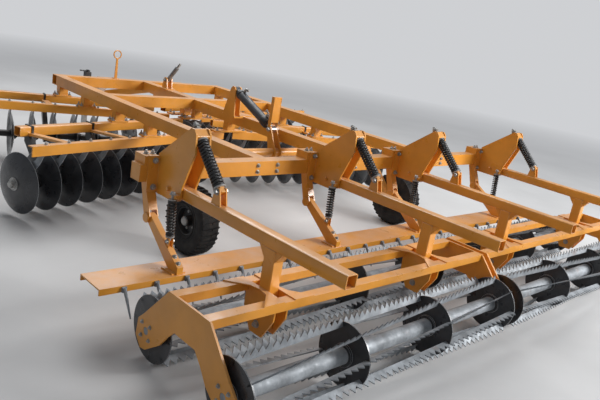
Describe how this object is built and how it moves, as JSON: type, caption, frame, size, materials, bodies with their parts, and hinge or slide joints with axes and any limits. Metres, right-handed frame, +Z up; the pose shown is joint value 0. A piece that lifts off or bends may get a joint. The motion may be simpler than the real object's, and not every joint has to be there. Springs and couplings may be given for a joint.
{
  "type": "towed combination tillage machine with disc gangs, levelling board and saw-bar rollers",
  "caption": "Towed tillage machine: angled disc gangs, a levelling board with spikes and paired saw-bar rollers.",
  "frame": {"origin": "on the floor under the middle of the overall box", "axes": "+X to the machine's right, +Y the direction of travel, +Z up"},
  "size_m": [4.76, 6.357, 1.1458],
  "materials": {
    "orange_paint": "glossy orange paint",
    "black_paint": "black paint",
    "worn_steel": "bare rolled steel",
    "disc_steel": "dark painted discs",
    "zinc": "zinc plate",
    "tyre_rubber": "matt rubber",
    "cylinder_paint": "dark cylinder paint",
    "chrome_rod": "hard chrome"
  },
  "bodies": {
    "root": {"rear_crossbeam": "orange_paint", "left_main_beam": "orange_paint", "centre_main_beam": "orange_paint", "right_main_beam": "orange_paint", "front_beam": "orange_paint", "middle_beam": "orange_paint", "left_roller_frame": "orange_paint", "right_roller_frame": "orange_paint", "left_roller_outer_plate": "orange_paint", "left_roller_inner_plate": "orange_paint", "right_roller_inner_plate": "orange_paint", "right_roller_outer_plate": "orange_paint", "leveller_hangers": "orange_paint", "leveller_arms": "orange_paint", "leveller_board": "orange_paint", "rear_gang_brackets": "orange_paint", "front_gang_brackets": "orange_paint", "lift_shaft_bearings": "orange_paint", "lift_cylinder_bracket": "orange_paint", "drawbar": "orange_paint", "hose_holder_post": "orange_paint", "spring_tower_1": "orange_paint", "roller_arm_1": "orange_paint", "spring_tower_2": "orange_paint", "roller_arm_2": "orange_paint", "spring_tower_3": "orange_paint", "roller_arm_3": "orange_paint", "spring_tower_4": "orange_paint", "roller_arm_4": "orange_paint", "roller_springs": "black_paint", "leveller_springs": "black_paint", "leveller_tines": "worn_steel", "rear_left_gang_frame": "orange_paint", "rear_right_gang_frame": "orange_paint", "front_left_gang_frame": "orange_paint", "front_right_gang_frame": "orange_paint", "levelling_screw": "zinc", "jack_tube": "black_paint"},
    "rear_left_gang": {"rear_left_disc_gang": "disc_steel"},
    "rear_right_gang": {"rear_right_disc_gang": "disc_steel"},
    "front_left_gang": {"front_left_disc_gang": "disc_steel"},
    "front_right_gang": {"front_right_disc_gang": "disc_steel"},
    "left_front_roller_body": {"left_front_roller": "worn_steel"},
    "left_rear_roller_body": {"left_rear_roller": "worn_steel"},
    "left_wheel": {"left_tyre": "tyre_rubber", "left_rim": "orange_paint"},
    "right_front_roller_body": {"right_front_roller": "worn_steel"},
    "right_rear_roller_body": {"right_rear_roller": "worn_steel"},
    "right_wheel": {"right_tyre": "tyre_rubber", "right_rim": "orange_paint"},
    "lift": {"lift_shaft": "orange_paint"},
    "cylinder": {"lift_cylinder_barrel": "cylinder_paint"},
    "rod": {"lift_cylinder_rod": "chrome_rod"},
    "jack": {"jack_leg": "zinc"}
  },
  "joints": [
    {"name": "rear_left_gang_spin", "type": "hinge", "parent": "root", "child": "rear_left_gang", "pos_m": [-1.1, 0.14157, 0.265], "axis": [-0.9686, -0.2487, 0], "continuous": true},
    {"name": "rear_right_gang_spin", "type": "hinge", "parent": "root", "child": "rear_right_gang", "pos_m": [1.1, 0.14157, 0.265], "axis": [0.9686, -0.2487, 0], "continuous": true},
    {"name": "front_left_gang_spin", "type": "hinge", "parent": "root", "child": "front_left_gang", "pos_m": [-1.1, 1.38643, 0.265], "axis": [-0.9686, 0.2487, 0], "continuous": true},
    {"name": "front_right_gang_spin", "type": "hinge", "parent": "root", "child": "front_right_gang", "pos_m": [1.1, 1.38643, 0.265], "axis": [0.9686, 0.2487, 0], "continuous": true},
    {"name": "left_front_roller_spin", "type": "hinge", "parent": "root", "child": "left_front_roller_body", "pos_m": [-1.15, -2.349, 0.198], "axis": [1, 0, 0], "continuous": true},
    {"name": "left_rear_roller_spin", "type": "hinge", "parent": "root", "child": "left_rear_roller_body", "pos_m": [-1.15, -2.981, 0.198], "axis": [1, 0, 0], "continuous": true},
    {"name": "left_wheel_spin", "type": "hinge", "parent": "lift", "child": "left_wheel", "pos_m": [-1.212, -1.148, 0.255], "axis": [1, 0, 0], "continuous": true},
    {"name": "right_front_roller_spin", "type": "hinge", "parent": "root", "child": "right_front_roller_body", "pos_m": [1.15, -2.349, 0.198], "axis": [1, 0, 0], "continuous": true},
    {"name": "right_rear_roller_spin", "type": "hinge", "parent": "root", "child": "right_rear_roller_body", "pos_m": [1.15, -2.981, 0.198], "axis": [1, 0, 0], "continuous": true},
    {"name": "right_wheel_spin", "type": "hinge", "parent": "lift", "child": "right_wheel", "pos_m": [1.212, -1.148, 0.255], "axis": [1, 0, 0], "continuous": true},
    {"name": "lift_shaft_turn", "type": "hinge", "parent": "root", "child": "lift", "pos_m": [0, -0.736, 0.64], "axis": [1, 0, 0], "range_deg": [0, 25]},
    {"name": "cylinder_swing", "type": "hinge", "parent": "root", "child": "cylinder", "pos_m": [-0.125, -0.091, 1.07], "axis": [1, 0, 0], "range_deg": [-4.5, 0]},
    {"name": "rod_slide", "type": "slide", "parent": "cylinder", "child": "rod", "axis": [0, -0.9216, -0.3881], "range_m": [0, 0.078]},
    {"name": "jack_slide", "type": "slide", "parent": "root", "child": "jack", "axis": [0, 0, 1], "range_m": [0, 0.2]}
  ],
  "couplings": [
    {"joint": "cylinder_swing", "follows": "lift_shaft_turn", "ratio": -0.166},
    {"joint": "rod_slide", "follows": "lift_shaft_turn", "m_per_rad": 0.171}
  ]
}
